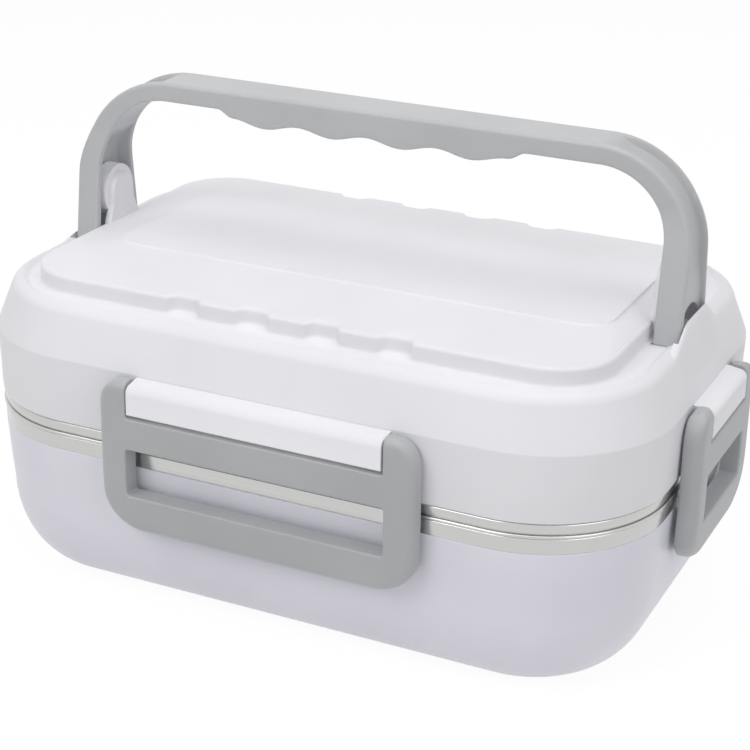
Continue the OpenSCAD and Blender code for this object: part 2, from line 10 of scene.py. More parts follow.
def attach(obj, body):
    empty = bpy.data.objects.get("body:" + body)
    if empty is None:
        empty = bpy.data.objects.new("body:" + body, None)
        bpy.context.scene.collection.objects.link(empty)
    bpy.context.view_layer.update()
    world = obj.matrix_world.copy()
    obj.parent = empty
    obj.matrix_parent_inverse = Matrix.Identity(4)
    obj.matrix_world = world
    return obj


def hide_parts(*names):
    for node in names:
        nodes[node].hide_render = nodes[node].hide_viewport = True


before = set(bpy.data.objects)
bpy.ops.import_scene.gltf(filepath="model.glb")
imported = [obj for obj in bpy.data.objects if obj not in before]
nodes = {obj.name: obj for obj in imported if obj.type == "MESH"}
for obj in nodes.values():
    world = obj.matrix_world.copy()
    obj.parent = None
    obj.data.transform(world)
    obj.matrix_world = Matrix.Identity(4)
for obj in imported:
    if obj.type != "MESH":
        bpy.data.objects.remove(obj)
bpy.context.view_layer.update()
mm = 0.001
print("frame loaded")

# sizes shared by several pieces, in millimetres
body = dict(
    halfLength=117.5,  # at the lid edge
    halfWidth=78.9,
    corner=43.4,
    baseTop=54.1,
    rimLine=59.2,  # where the two steel bands meet
    lidEdge=63.9,
    crease=86.4,
    gutterFloor=101.5,
    platformEdge=107.5,
    panelTop=111.0,
    handlePivot=117.5,
)
cornerX = body["halfLength"] - body["corner"]
cornerY = body["halfWidth"] - body["corner"]


# materials
# A hex colour as linear RGBA.
def srgb(code):
    parts = [int(code[i:i + 2], 16) / 255 for i in (1, 3, 5)]
    return tuple(c / 12.92 if c <= 0.04045 else ((c + 0.055) / 1.055) ** 2.4 for c in parts) + (1.0,)


# Adds one node, sets its fields and values, and joins its inputs.
def addNode(tree, kind, settings=None, **links):
    node = tree.nodes.new(kind)
    for name, value in (settings or {}).items():
        if hasattr(node, name):
            setattr(node, name, value)
        else:
            node.inputs[name].default_value = value
    for name, source in links.items():
        tree.links.new(source, node.inputs[name.replace("_", " ")])
    return node


def newMaterial(name):
    material = bpy.data.materials.new(name)
    material.use_nodes = True
    tree = material.node_tree
    tree.nodes.clear()
    shader = addNode(tree, "ShaderNodeBsdfPrincipled")
    output = addNode(tree, "ShaderNodeOutputMaterial")
    tree.links.new(shader.outputs[0], output.inputs["Surface"])
    coords = addNode(tree, "ShaderNodeTexCoord").outputs["Object"]
    return material, tree, shader, coords


# Runs from the dark tone to the light one as the factor rises from low to high.
def toned(tree, factor, light, dark, low, high):
    tones = addNode(tree, "ShaderNodeValToRGB", None, Fac=factor)
    for element, position, tone in zip(tones.color_ramp.elements, (low, high), (dark, light)):
        element.position = position
        element.color = srgb(tone)
    return tones.outputs["Color"]


# Two close tones over a soft noise.
def mottled(tree, coords, light, dark, scale):
    noise = addNode(tree, "ShaderNodeTexNoise", {"Scale": scale, "Detail": 3.0}, Vector=coords)
    return toned(tree, noise.outputs["Fac"], light, dark, 0.35, 0.65)


def bumped(tree, shader, height, strength, distance):
    bump = addNode(tree, "ShaderNodeBump", {"Strength": strength, "Distance": distance}, Height=height)
    tree.links.new(bump.outputs["Normal"], shader.inputs["Normal"])


# Roughness that varies between two values with the factor.
def roughened(tree, shader, factor, low, high):
    shine = addNode(tree, "ShaderNodeMapRange", {"To Min": low, "To Max": high}, Value=factor)
    tree.links.new(shine.outputs["Result"], shader.inputs["Roughness"])


# Injection-moulded polypropylene: close tones, a fine spark-eroded grain and a soft gloss.
def mouldedPlastic(name, light, dark, roughness, grain):
    material, tree, shader, coords = newMaterial(name)
    tree.links.new(mottled(tree, coords, light, dark, 22.0), shader.inputs["Base Color"])
    fine = addNode(tree, "ShaderNodeTexNoise", {"Scale": 2200.0, "Detail": 2.0}, Vector=coords)
    roughened(tree, shader, fine.outputs["Fac"], roughness - 0.03, roughness + 0.04)
    bumped(tree, shader, fine.outputs["Fac"], grain, 0.00006)
    shader.inputs["IOR"].default_value = 1.49
    return material


# White polypropylene, moulded: bright, faintly cool, a soft broad gloss.
lidPlastic = mouldedPlastic("whitePolypropylene", "#ececf0", "#e8e8ec", 0.48, 0.25)
# Pale natural polypropylene of the base: cooler and slightly milky.
basePlastic = mouldedPlastic("milkyPolypropylene", "#e6e5ee", "#e0dfe9", 0.36, 0.25)
# Grey polypropylene of the clips and the handle, matt with a fine grain; the handle's copy is painted
# lighter, painted light for the stronger light it gets from above.
clipPlastic = mouldedPlastic("greyPolypropylene", "#b4b6b8", "#aeb0b2", 0.42, 0.45)
handlePlasticPaintedLighter = mouldedPlastic("greyPolypropylenePaintedLighter", "#bfc0c2", "#b9babc", 0.4, 0.4)
blackPlastic = mouldedPlastic("blackPolyamide", "#26272a", "#1f2022", 0.48, 0.6)
liningPlastic = mouldedPlastic("whiteLiner", "#eeeef0", "#e8e8ec", 0.4, 0.2)


# Stainless sheet, deep drawn and polished: fine lines run along the rim.
def drawnSteel(name, light, dark, roughness):
    material, tree, shader, coords = newMaterial(name)
    stretch = addNode(tree, "ShaderNodeMapping", {"Scale": (6.0, 6.0, 2600.0)}, Vector=coords)
    lines = addNode(tree, "ShaderNodeTexNoise", {"Scale": 1.0, "Detail": 3.0},
                    Vector=stretch.outputs["Vector"])
    tone = toned(tree, lines.outputs["Fac"], light, dark, 0.3, 0.7)
    tree.links.new(tone, shader.inputs["Base Color"])
    roughened(tree, shader, lines.outputs["Fac"], roughness - 0.04, roughness + 0.06)
    shader.inputs["Metallic"].default_value = 1.0
    bumped(tree, shader, lines.outputs["Fac"], 0.06, 0.00002)
    return material


rimSteel = drawnSteel("drawnStainless", "#cacac9", "#c5c5c4", 0.2)
screwSteel = drawnSteel("zincPlatedSteel", "#bdbdbd", "#acacac", 0.32)


def plainMetal(name, light, dark, roughness, scale):
    material, tree, shader, coords = newMaterial(name)
    tree.links.new(mottled(tree, coords, light, dark, scale), shader.inputs["Base Color"])
    shader.inputs["Metallic"].default_value = 1.0
    shader.inputs["Roughness"].default_value = roughness
    return material


# Extruded aluminium plate: soft mill finish.
plateAluminium = plainMetal("millAluminium", "#d6d7d9", "#c6c8ca", 0.42, 60.0)
# Plated brass contacts: bright and a little warm.
contactBrass = plainMetal("platedBrass", "#d9cfae", "#cbbf98", 0.25, 200.0)


# Moulded silicone or rubber: dull, with a dusty fine grain.
def softRubber(name, light, dark, roughness):
    material, tree, shader, coords = newMaterial(name)
    tree.links.new(mottled(tree, coords, light, dark, 90.0), shader.inputs["Base Color"])
    fine = addNode(tree, "ShaderNodeTexNoise", {"Scale": 1600.0, "Detail": 2.0}, Vector=coords)
    bumped(tree, shader, fine.outputs["Fac"], 0.5, 0.00008)
    shader.inputs["Roughness"].default_value = roughness
    shader.inputs["IOR"].default_value = 1.43
    return material


footRubber = softRubber("footRubber", "#2c2c2e", "#242426", 0.75)
sealSilicone = softRubber("sealSilicone", "#dcdcdc", "#d2d2d4", 0.6)
wireSilicone = softRubber("wireSleeve", "#a8342c", "#962c26", 0.55)
heaterFilm = softRubber("heaterFilm", "#b98a3a", "#a97c32", 0.4)
print("materials made")


# mesh helpers
# Smooth shading, with sharp edges where faces meet at more than the angle.
def shadeSmooth(mesh, angle):
    for polygon in mesh.polygons:
        polygon.use_smooth = True
    mesh.set_sharp_from_angle(angle=math.radians(angle))


# Links a mesh built in millimetres as an object in metres.
def finishMesh(name, mesh, material, angle=35.0):
    mesh.transform(Matrix.Scale(mm, 4))
    obj = bpy.data.objects.new(name, mesh)
    bpy.context.scene.collection.objects.link(obj)
    mesh.materials.append(material)
    shadeSmooth(mesh, angle)
    return obj


# Eased step from 0 to 1.
def ramp(t):
    t = min(1.0, max(0.0, t))
    return t * t * (3 - 2 * t)


def arcPoints(x, y, a, b, start, end, steps):
    turns = [math.radians(start + (end - start) * i / steps) for i in range(steps + 1)]
    return [(x + a * math.cos(t), y + b * math.sin(t)) for t in turns]


# A closed outline from (x, y, radius) corners, each with its own fillet; nearly straight corners stay.
def rounded(points, steps=5):
    out = []
    count = len(points)
    for i, (x, y, r) in enumerate(points):
        here = Vector((x, y))
        before = Vector(points[i - 1][:2]) - here
        after = Vector(points[(i + 1) % count][:2]) - here
        plain = min(r, before.length, after.length) < 1e-6
        half = 0.0 if plain else before.angle(after) / 2
        if half > math.radians(88.5) or half < 0.01:
            out.append((x, y))
            continue
        reach = min(r / math.tan(half), before.length * 0.49, after.length * 0.49)
        r = reach * math.tan(half)
        bisector = (before.normalized() + after.normalized()).normalized()
        centre = here + bisector * (r / math.sin(half))
        first = here + before.normalized() * reach - centre
        last = here + after.normalized() * reach - centre
        sweep = first.angle_signed(last)
        for k in range(steps + 1):
            t = -sweep * k / steps
            c, s = math.cos(t), math.sin(t)
            out.append((centre.x + first.x * c - first.y * s, centre.y + first.x * s + first.y * c))
    return out


# Points round a rounded rectangle, counter-clockwise, evenly placed on sides and corners.
def ringPoints(halfX, halfY, r, alongX, alongY, cornerSteps):
    r = max(r, 0.02)
    cx, cy = halfX - r, halfY - r
    out = []
    for sx, sy, start in ((1, 1, 0), (-1, 1, 90), (-1, -1, 180), (1, -1, 270)):
        for k in range(cornerSteps + 1):
            t = math.radians(start + 90 * k / cornerSteps)
            out.append((sx * cx + r * math.cos(t), sy * cy + r * math.sin(t)))
        count = alongX if start in (0, 180) else alongY
        nxt = {0: (-cx, halfY), 90: (-halfX, -cy), 180: (cx, -halfY), 270: (halfX, cy)}[start]
        x0, y0 = out[-1]
        for k in range(1, count):
            f = k / count
            out.append((x0 + (nxt[0] - x0) * f, y0 + (nxt[1] - y0) * f))
    return out


# A mesh through rings of 3-D points, all with the same number of points.
def loft(rings, closeStart=False, closeEnd=False, loop=False):
    bm = bmesh.new()
    rows = [[bm.verts.new(p) for p in ring] for ring in rings]
    count = len(rows[0])
    pairs = list(zip(rows, rows[1:]))
    if loop:
        pairs.append((rows[-1], rows[0]))
    for low, high in pairs:
        for i in range(count):
            j = (i + 1) % count
            bm.faces.new((low[i], low[j], high[j], high[i]))
    if closeStart:
        bm.faces.new(list(reversed(rows[0])))
    if closeEnd:
        bm.faces.new(rows[-1])
    return bm


def toMesh(bm, name):
    bmesh.ops.recalc_face_normals(bm, faces=bm.faces)
    mesh = bpy.data.meshes.new(name)
    bm.to_mesh(mesh)
    bm.free()
    return mesh


# The body's outline at one height, r past the corner centres.
def bodyRing(r, z, steps):
    return [(x, y, z) for x, y in ringPoints(cornerX + r, cornerY + r, r, **steps)]


# Carries a closed outline (distance past the corner centres, height) round the body.
def sweptRing(name, outline, material):
    steps = dict(alongX=24, alongY=12, cornerSteps=32)
    rings = [bodyRing(r, z, steps) for r, z in outline]
    return finishMesh(name, toMesh(loft(rings, loop=True), name), material)


# Replaces the object's mesh by what its modifiers make of it.
def applyModifiers(obj):
    bpy.context.view_layer.update()
    mesh = bpy.data.meshes.new_from_object(obj.evaluated_get(bpy.context.evaluated_depsgraph_get()))
    obj.modifiers.clear()
    old = obj.data
    obj.data = mesh
    bpy.data.meshes.remove(old)


# Applies one exact boolean and removes the tool.
def cutOrJoin(obj, tool, operation):
    modifier = obj.modifiers.new("cut", "BOOLEAN")
    modifier.operation = operation
    modifier.solver = "EXACT"
    modifier.object = tool
    applyModifiers(obj)
    bpy.data.objects.remove(tool)


# A block with softened edges, corners given in millimetres.
def roundedBlock(name, low, high, radius, material, segments=4):
    bm = bmesh.new()
    bmesh.ops.create_cube(bm, size=1.0)
    for v in bm.verts:
        for i in range(3):
            v.co[i] = low[i] if v.co[i] < 0 else high[i]
    edges = bm.edges[:]
    bmesh.ops.bevel(bm, geom=edges, offset=radius, segments=segments, profile=0.5, affect="EDGES")
    return finishMesh(name, toMesh(bm, name), material)


# A plain round bar from the start along the axis.
def tubeAlong(name, start, axis, radius, length, material, segments):
    bm = bmesh.new()
    bmesh.ops.create_cone(bm, cap_ends=True, segments=segments, radius1=radius, radius2=radius, depth=length)
    turn = Vector((0, 0, 1)).rotation_difference(Vector(axis)).to_matrix().to_4x4()
    middle = Vector(start) + Vector(axis) * (length / 2)
    bm.transform(Matrix.Translation(middle) @ turn)
    return finishMesh(name, toMesh(bm, name), material)


# base shell
base = dict(
    floorLift=0.8, roundHeight=29.8, roundWidth=21.8, draft=1.7, wall=2.2, coverEdge=9.0, coverTop=3.2,
    socketLow=(-113, -13.5, 2.6), socketHigh=(-101.5, 13.5, 18.8), socketRound=2.2,
    holeLow=(-120, -11, 4.9), holeHigh=(-95, 11, 16.5),
)
almostSharp = 0.01
bandRadius = body["corner"] - 0.5
baseFlat = bandRadius - base["draft"] - base["roundWidth"]
roundZ = base["floorLift"] + base["roundHeight"]
innerWidth, innerHeight = base["roundWidth"] - base["wall"], base["roundHeight"] - base["wall"]
outer = arcPoints(baseFlat, roundZ, base["roundWidth"], base["roundHeight"], 270, 360, 30)
inner = arcPoints(baseFlat, roundZ, innerWidth, innerHeight, 360, 270, 20)
shellTop = rounded([
    (bandRadius - 0.9, 40, 0), (bandRadius, body["baseTop"] - 0.1, 0.35), (41.9, body["baseTop"] - 0.1, 0),
    (41.9, 58.1, 0.3), (40.6, 58.1, 0.3), (39.3, 40, 0)], 4)
shellFoot = [(base["coverEdge"], base["floorLift"] + 0.3), (base["coverEdge"] + 0.3, base["floorLift"])]
coverSeat = [(11.0, 5.2), (5.0, 5.2), (5.0, base["coverTop"]), (base["coverEdge"], base["coverTop"])]
baseShell = sweptRing("base_shell_body", shellFoot + outer + shellTop + inner + coverSeat, basePlastic)
socketBlock = roundedBlock("socketBlock", base["socketLow"], base["socketHigh"], base["socketRound"],
                           basePlastic)
cutOrJoin(baseShell, socketBlock, "UNION")
socketHole = roundedBlock("socketHole", base["holeLow"], base["holeHigh"], almostSharp, basePlastic, 1)
cutOrJoin(baseShell, socketHole, "DIFFERENCE")
shadeSmooth(baseShell.data, 35)
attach(baseShell, "base")
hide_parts("base_shell")
print("base shell made")

# steel pot and tray
steel = dict(sheet=0.7, potFloor=14.4, potWall=34.0, roundWidth=22.0, roundHeight=20.0, trayGap=0.6)
sheet = steel["sheet"]
potFlat = steel["potWall"] - steel["roundWidth"]
potZ = steel["potFloor"] + steel["roundHeight"]
trayWall = steel["potWall"] - sheet - steel["trayGap"]
trayFloor = steel["potFloor"] + sheet + 0.3


# Pressed pan: rounded floor, wall, flat rim and a turned-down outer band.
def pan(name, wallRadius, floorZ, top, skirtLow, bead):
    a, b = wallRadius - potFlat, potZ - floorZ
    outline = [(0.05, floorZ)] + arcPoints(potFlat, potZ, a, b, 270, 360, 18)
    outline += rounded([(wallRadius, top - 8, 0), (wallRadius, top - sheet, 0.5),
                        (bandRadius - sheet, top - sheet, 0.3), (bandRadius - sheet, skirtLow, 0)], 4)
    if bead:  # rolled edge that shows as a bright line
        outline += [(bandRadius - 0.75, skirtLow + 0.2), (bandRadius - 0.75, skirtLow - 0.9)]
        outline += [(bandRadius - 0.05 + 0.5 * math.cos(t), skirtLow - 0.55 + 0.55 * math.sin(t))
                    for t in [math.radians(-90 + 160 * k / 8) for k in range(9)]]
        outline += [(bandRadius - 0.5, skirtLow + 0.05), (bandRadius - 0.5, skirtLow + 0.45),
                    (bandRadius - 0.05, skirtLow + 0.55)]
    else:
        outline += [(bandRadius - 0.1, skirtLow)]
    outline += rounded([(bandRadius, skirtLow + 0.65, 0), (bandRadius, top, 0.6),
                        (wallRadius - sheet, top, 1.2), (wallRadius - sheet, top - 8, 0)], 5)
    outline += arcPoints(potFlat, potZ, a - sheet, b - sheet, 360, 270, 18)
    outline += [(0.05, floorZ + sheet)]
    wall = sweptRing(name, outline, rimSteel)
    x, y = cornerX + 0.2, cornerY + 0.2
    floor = roundedBlock(name + "Floor", (-x, -y, floorZ), (x, y, floorZ + sheet), almostSharp, rimSteel, 1)
    return wall, floor


potSizes = (steel["potWall"], steel["potFloor"], body["rimLine"] - 0.02, body["baseTop"], False)
traySizes = (trayWall, trayFloor, body["lidEdge"] - 0.02, body["rimLine"] + 1.1, True)
for name, node, owner, sizes in (("steel_pot_liner", "steel_pot", "base", potSizes),
                                 ("inner_tray_pan", "inner_tray", "tray", traySizes)):
    panWall, panFloor = pan(name, *sizes)
    for piece in (panWall, panFloor):
        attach(piece, owner)
    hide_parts(node)
print("steel pans made")

# lid
lid = dict(
    shoulderRun=9.5, shoulderStart=20.0, wall=2.2,
    platformX=100.5, platformY=62.3, platformR=20.5,
    kneeRun=5.9, kneeDrop=1.9,  # where the steep flank turns into the soft shoulder
    edgeRound=1.3, panelY=31.2, panelLeft=-82.0, panelRight=92.5, panelCorner=9.0,
    scallopPitch=24.6, scallopDepth=2.8, scallopWidth=5.6,
)
creaseRadius = body["corner"] + 0.5
shoulderTop = body["gutterFloor"] + 1.5
shoulderA = lid["shoulderRun"] / math.cos(math.radians(lid["shoulderStart"]))
shoulderB = (shoulderTop - body["crease"]) / (1 - math.sin(math.radians(lid["shoulderStart"])))
gutterRadius = creaseRadius - lid["shoulderRun"]
lidSteps = dict(alongX=150, alongY=40, cornerSteps=24)
panelCentre = (lid["panelRight"] + lid["panelLeft"]) / 2
panelHalf = (lid["panelRight"] - lid["panelLeft"]) / 2


# How far a finger scallop bites into the platform edge at x.
def scallopDepth(x, z):
    pitch = lid["scallopPitch"]
    nearest = min((abs(x - pitch * k) for k in (-1.5, -0.5, 0.5, 1.5)))
    t = nearest / lid["scallopWidth"]
    low = min(1.0, max(0.0, (z - body["gutterFloor"] - 0.2) / 1.0))
    return lid["scallopDepth"] * low * max(0.0, 1 - t ** 4) ** 0.9


def platformRing(inset, z, bite=1.0):
    out = []
    r = lid["platformR"] - inset
    for x, y in ringPoints(lid["platformX"] - inset, lid["platformY"] - inset, r, **lidSteps):
        if abs(y) > lid["platformY"] - inset - 0.5:
            y -= math.copysign(scallopDepth(x, z) * bite, y)
        out.append((x, y, z))
    return out


# From the platform edge (t = 0) to the rim of the top panel (t = 1).
def panelRing(t, z):
    out = []
    inset = 1.2
    edge = ringPoints(lid["platformX"] - inset, lid["platformY"] - inset, lid["platformR"] - inset,
                      **lidSteps)
    panel = ringPoints(panelHalf, lid["panelY"], lid["panelCorner"], **lidSteps)
    for (x0, y0), (x, y1) in zip(edge, panel):
        x1 = panelCentre + x
        if abs(y0) > lid["platformY"] - inset - 0.5:
            y0 -= math.copysign(scallopDepth(x0, z) * max(0.0, 1 - 7 * t), y0)
        out.append((x0 + (x1 - x0) * t, y0 + (y1 - y0) * t, z))
    return out


innerRadius = body["corner"] - lid["wall"]
ceiling = body["gutterFloor"] - lid["wall"]
gutterBack = gutterRadius - 1.4
gutterZ = body["gutterFloor"]
lidProfile = [(0.05, ceiling), (gutterRadius - 4, ceiling)]
lidProfile += arcPoints(gutterRadius, shoulderTop - shoulderB, shoulderA - lid["wall"],
                        shoulderB - lid["wall"] - 1.5, 88, 20, 10)
lidProfile += rounded([(innerRadius, 84, 0), (innerRadius, body["lidEdge"] + 0.1, 0.4),
                       (body["corner"], body["lidEdge"] + 0.3, 0.5), (body["corner"] + 0.25, 75, 0)], 4)
lidProfile += rounded([(body["corner"] + 0.3, 78, 0), (creaseRadius, body["crease"], 1.6),
                       (creaseRadius - lid["kneeRun"], shoulderTop - lid["kneeDrop"], 7.0),
                       (gutterRadius + 0.4, shoulderTop - 0.12, 0)], 10)[1:-1]
lidProfile += [(gutterRadius + 0.4, shoulderTop - 0.12), (gutterRadius - 0.2, shoulderTop - 0.45),
               (gutterRadius - 0.7, shoulderTop - 0.95), (gutterBack, gutterZ + 0.1),
               (gutterBack - 0.8, gutterZ)]
rings = [bodyRing(r, z, lidSteps) for r, z in lidProfile]
for grow, z in ((0.9, gutterZ), (0.35, gutterZ + 0.12), (0.1, gutterZ + 0.4), (0.0, gutterZ + 1.0)):
    rings.append(platformRing(-grow, z))
for z in (102.6, 103.3, 104.0, 104.8, 105.6):
    rings.append(platformRing(0.0, z))
edgeZ, edgeRound = body["platformEdge"], lid["edgeRound"]
for k in range(7):
    t = math.radians(90 * k / 6)
    rings.append(platformRing(edgeRound * (1 - math.cos(t)), edgeZ - edgeRound + edgeRound * math.sin(t)))
rise = body["panelTop"] - edgeZ
for t in (0.02, 0.05, 0.08, 0.14, 0.22, 0.34, 0.46, 0.58, 0.7, 0.82, 0.92):
    rings.append(panelRing(t, edgeZ + (rise - 0.6) * (t ** 0.95)))
for t, z in ((0.965, -0.55), (0.975, -0.48), (0.985, -0.2), (0.992, -0.05), (1.0, 0.0)):
    rings.append(panelRing(t, body["panelTop"] + z))
panelSink = -0.1
for inset, up in ((0.5, 0.0), (1.0, -0.04), (1.6, panelSink), (4, panelSink), (8, panelSink),
                  (16, panelSink), (24, panelSink), (30.6, panelSink)):
    corner = max(0.3, lid["panelCorner"] - inset)
    flat = ringPoints(panelHalf - inset, lid["panelY"] - inset, corner, **lidSteps)
    rings.append([(panelCentre + x, y, body["panelTop"] + up) for x, y in flat])
lidShell = finishMesh("lid_shell_body", toMesh(loft(rings, True, True), "lidShell"), lidPlastic, 50)
print("lid shell lofted")


# Height of the lid's sloping flank at x.
def flankZ(x):
    edge, kneeZ = cornerX + creaseRadius, shoulderTop - lid["kneeDrop"]
    knee = edge - lid["kneeRun"]
    if x > knee:
        return body["crease"] + (edge - x) * (kneeZ - body["crease"]) / lid["kneeRun"]
    return kneeZ + (knee - x) * 0.5


# Round-bottomed pockets that the handle feet swing in.
pocket = dict(
    innerX=101.6, leftInnerX=100.3, outerX=111.2, sweep=21.7, top=109.4,
    backingHalf=16.8, backingLow=93.4, backingHigh=100.9,
)
# Raised lip outside each pocket, fading into the flank at both ends.
lip = dict(
    rightTop=108.6, leftTop=103.4, root=101.6, halfLength=24.0, endRun=16.0, sink=0.4,
    innerX=109.6, crestX=111.0, run=6.4, fadeX=111.4, fadeRun=5.2, outerX=116.6, innerLow=92.0, outerLow=86.0,
)
for side in (-1, 1):
    xs = sorted((side * (pocket["innerX"] - 2), side * (pocket["outerX"] + 1.6)))
    backing = roundedBlock("pocketBacking", (xs[0], -pocket["backingHalf"], pocket["backingLow"]),
                           (xs[1], pocket["backingHalf"], pocket["backingHigh"]), 0.5, lidPlastic, 1)
    cutOrJoin(lidShell, backing, "UNION")
    lipRings = []
    lipRise = (lip["rightTop"] if side > 0 else lip["leftTop"]) - lip["root"]
    for k in range(41):
        y = -lip["halfLength"] + 2 * lip["halfLength"] * k / 40
        rise = ramp((lip["halfLength"] - abs(y)) / lip["endRun"])
        outline = [(lip["innerX"], lip["innerLow"]),
                   (lip["innerX"], flankZ(lip["crestX"]) - lip["sink"] + lipRise * rise)]
        for j in range(17):
            x = lip["crestX"] + lip["run"] * j / 16
            fade = ramp(1 - (x - lip["fadeX"]) / lip["fadeRun"])
            outline.append((x, flankZ(x) - lip["sink"] + (lipRise + lip["sink"]) * rise * fade))
        outline.append((lip["outerX"], lip["outerLow"]))
        lipRings.append([(side * x, y, z) for x, z in outline])
    ridge = finishMesh("pocketLip", toMesh(loft(lipRings, True, True), "pocketLip"), lidPlastic)
    cutOrJoin(lidShell, ridge, "UNION")
    start = pocket["innerX"] if side > 0 else pocket["leftInnerX"]
    width = pocket["outerX"] - start
    hole = tubeAlong("pocketHole", (side * start, 0, body["handlePivot"]), (side, 0, 0), pocket["sweep"],
                     width, lidPlastic, 160)
    above = roundedBlock("above", (-130, -30, pocket["top"]), (130, 30, 150), almostSharp, lidPlastic, 1)
    cutOrJoin(hole, above, "DIFFERENCE")
    cutOrJoin(lidShell, hole, "DIFFERENCE")
shadeSmooth(lidShell.data, 50)
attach(lidShell, "lid")
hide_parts("lid_shell")

clip = dict(
    gap=1.0, thickness=6.4, bottom=33.7, windowLow=47.2, windowHigh=63.4, barTop=74.2,
    pinZ=83.2, topZ=86.4, edge=3.6, smallEdge=0.7, bottomCorner=14.5, topCorner=9.4,
    longHalf=55.0, shortHalf=29.5, post=10.0, tuck=1.3, lugGap=1.0,
)
# label, half length of the clip, distance of the lid's edge, turn about the vertical
sides = (
    ("front", clip["longHalf"], body["halfWidth"], 180),
    ("back", clip["longHalf"], body["halfWidth"], 0),
    ("left", clip["shortHalf"], body["halfLength"], 90),
    ("right", clip["shortHalf"], body["halfLength"], 270),
)


def placeSide(obj, turn):
    obj.data.transform(Matrix.Rotation(math.radians(turn), 4, "Z"))


# Block on the lid that the clip pivots on, flush with the clip's face.
def lidLug(name, half, side, turn):
    face = side + clip["gap"] + clip["thickness"]
    outline = rounded([
        (side - 1.5, 75.4, 0), (face, 75.4, 0.6), (face, clip["pinZ"] + 1.6, 3.0),
        (face - 4.2, clip["topZ"] - 0.9, 4.0), (side + 0.4, clip["topZ"] - 0.5, 0),
        (side - 2.0, clip["topZ"] - 0.4, 0), (side - 2.0, 80.0, 0)], 6)
    rings = [[(x, y, z) for y, z in outline] for x in (-half, -half + 0.15, half - 0.15, half)]
    obj = finishMesh(name, toMesh(loft(rings, True, True), name), lidPlastic, 40)
    bevel = obj.modifiers.new("edge", "BEVEL")
    bevel.width = 0.5 * mm
    bevel.segments = 3
    bevel.limit_method = "ANGLE"
    bevel.angle_limit = math.radians(60)
    placeSide(obj, turn)
    return obj


for label, half, side, turn in sides:
    lug = lidLug("lid_lug_" + label, half - clip["post"] - clip["lugGap"], side, turn)
    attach(lug, "lid")

# Tab with a round boss that stands in the channel of a handle leg; the tab narrows towards its top.
tab = dict(innerX=99.2, leftInnerX=98.0, topRadius=6.2, footZ=104, bossRadius=9.1, bossLength=5.0)
tabCrown = arcPoints(0, body["handlePivot"], tab["topRadius"], tab["topRadius"], 4, 176, 28)
tabFlank = [(9.4, tab["footZ"], 0), (9.0, 108.0, 3.0), (6.6, 113.5, 3.0)]
for side in (-1, 1):
    outline = rounded([(-9.4, tab["footZ"], 0)] + tabFlank + [(x, z, 0) for x, z in tabCrown] +
                      [(-x, z, r) for x, z, r in reversed(tabFlank[1:])], 5)
    inner = tab["innerX"] if side > 0 else tab["leftInnerX"]
    slices = ((inner, 0.985), (inner + 0.4, 1), (inner + 2.0, 1), (inner + 2.4, 0.985))
    bm = loft([[(side * x, y * width, z) for y, z in outline] for x, width in slices], True, True)
    label = "left" if side < 0 else "right"
    handleTab = finishMesh("handle_tab_" + label, toMesh(bm, "tab"), lidPlastic, 40)
    boss = tubeAlong("boss", (side * (inner + 2), 0, body["handlePivot"]), (side, 0, 0), tab["bossRadius"],
                     tab["bossLength"], lidPlastic, 96)
    cutOrJoin(handleTab, boss, "UNION")
    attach(handleTab, "lid")
print("lid made")


# clips
# Moves each point inwards along its corner's bisector by its own radius times amount.
def offsetRing(points, radii, amount):
    out = []
    count = len(points)
    for i in range(count):
        here = Vector(points[i])
        before = (here - Vector(points[i - 1])).normalized()
        after = (Vector(points[(i + 1) % count]) - here).normalized()
        normal = Vector((-(before.y + after.y), before.x + after.x)).normalized()
        scale = 1.0 / max(0.5, math.sqrt((1 + before.dot(after)) / 2))
        out.append(here + normal * radii[i] * amount * scale)
    return out


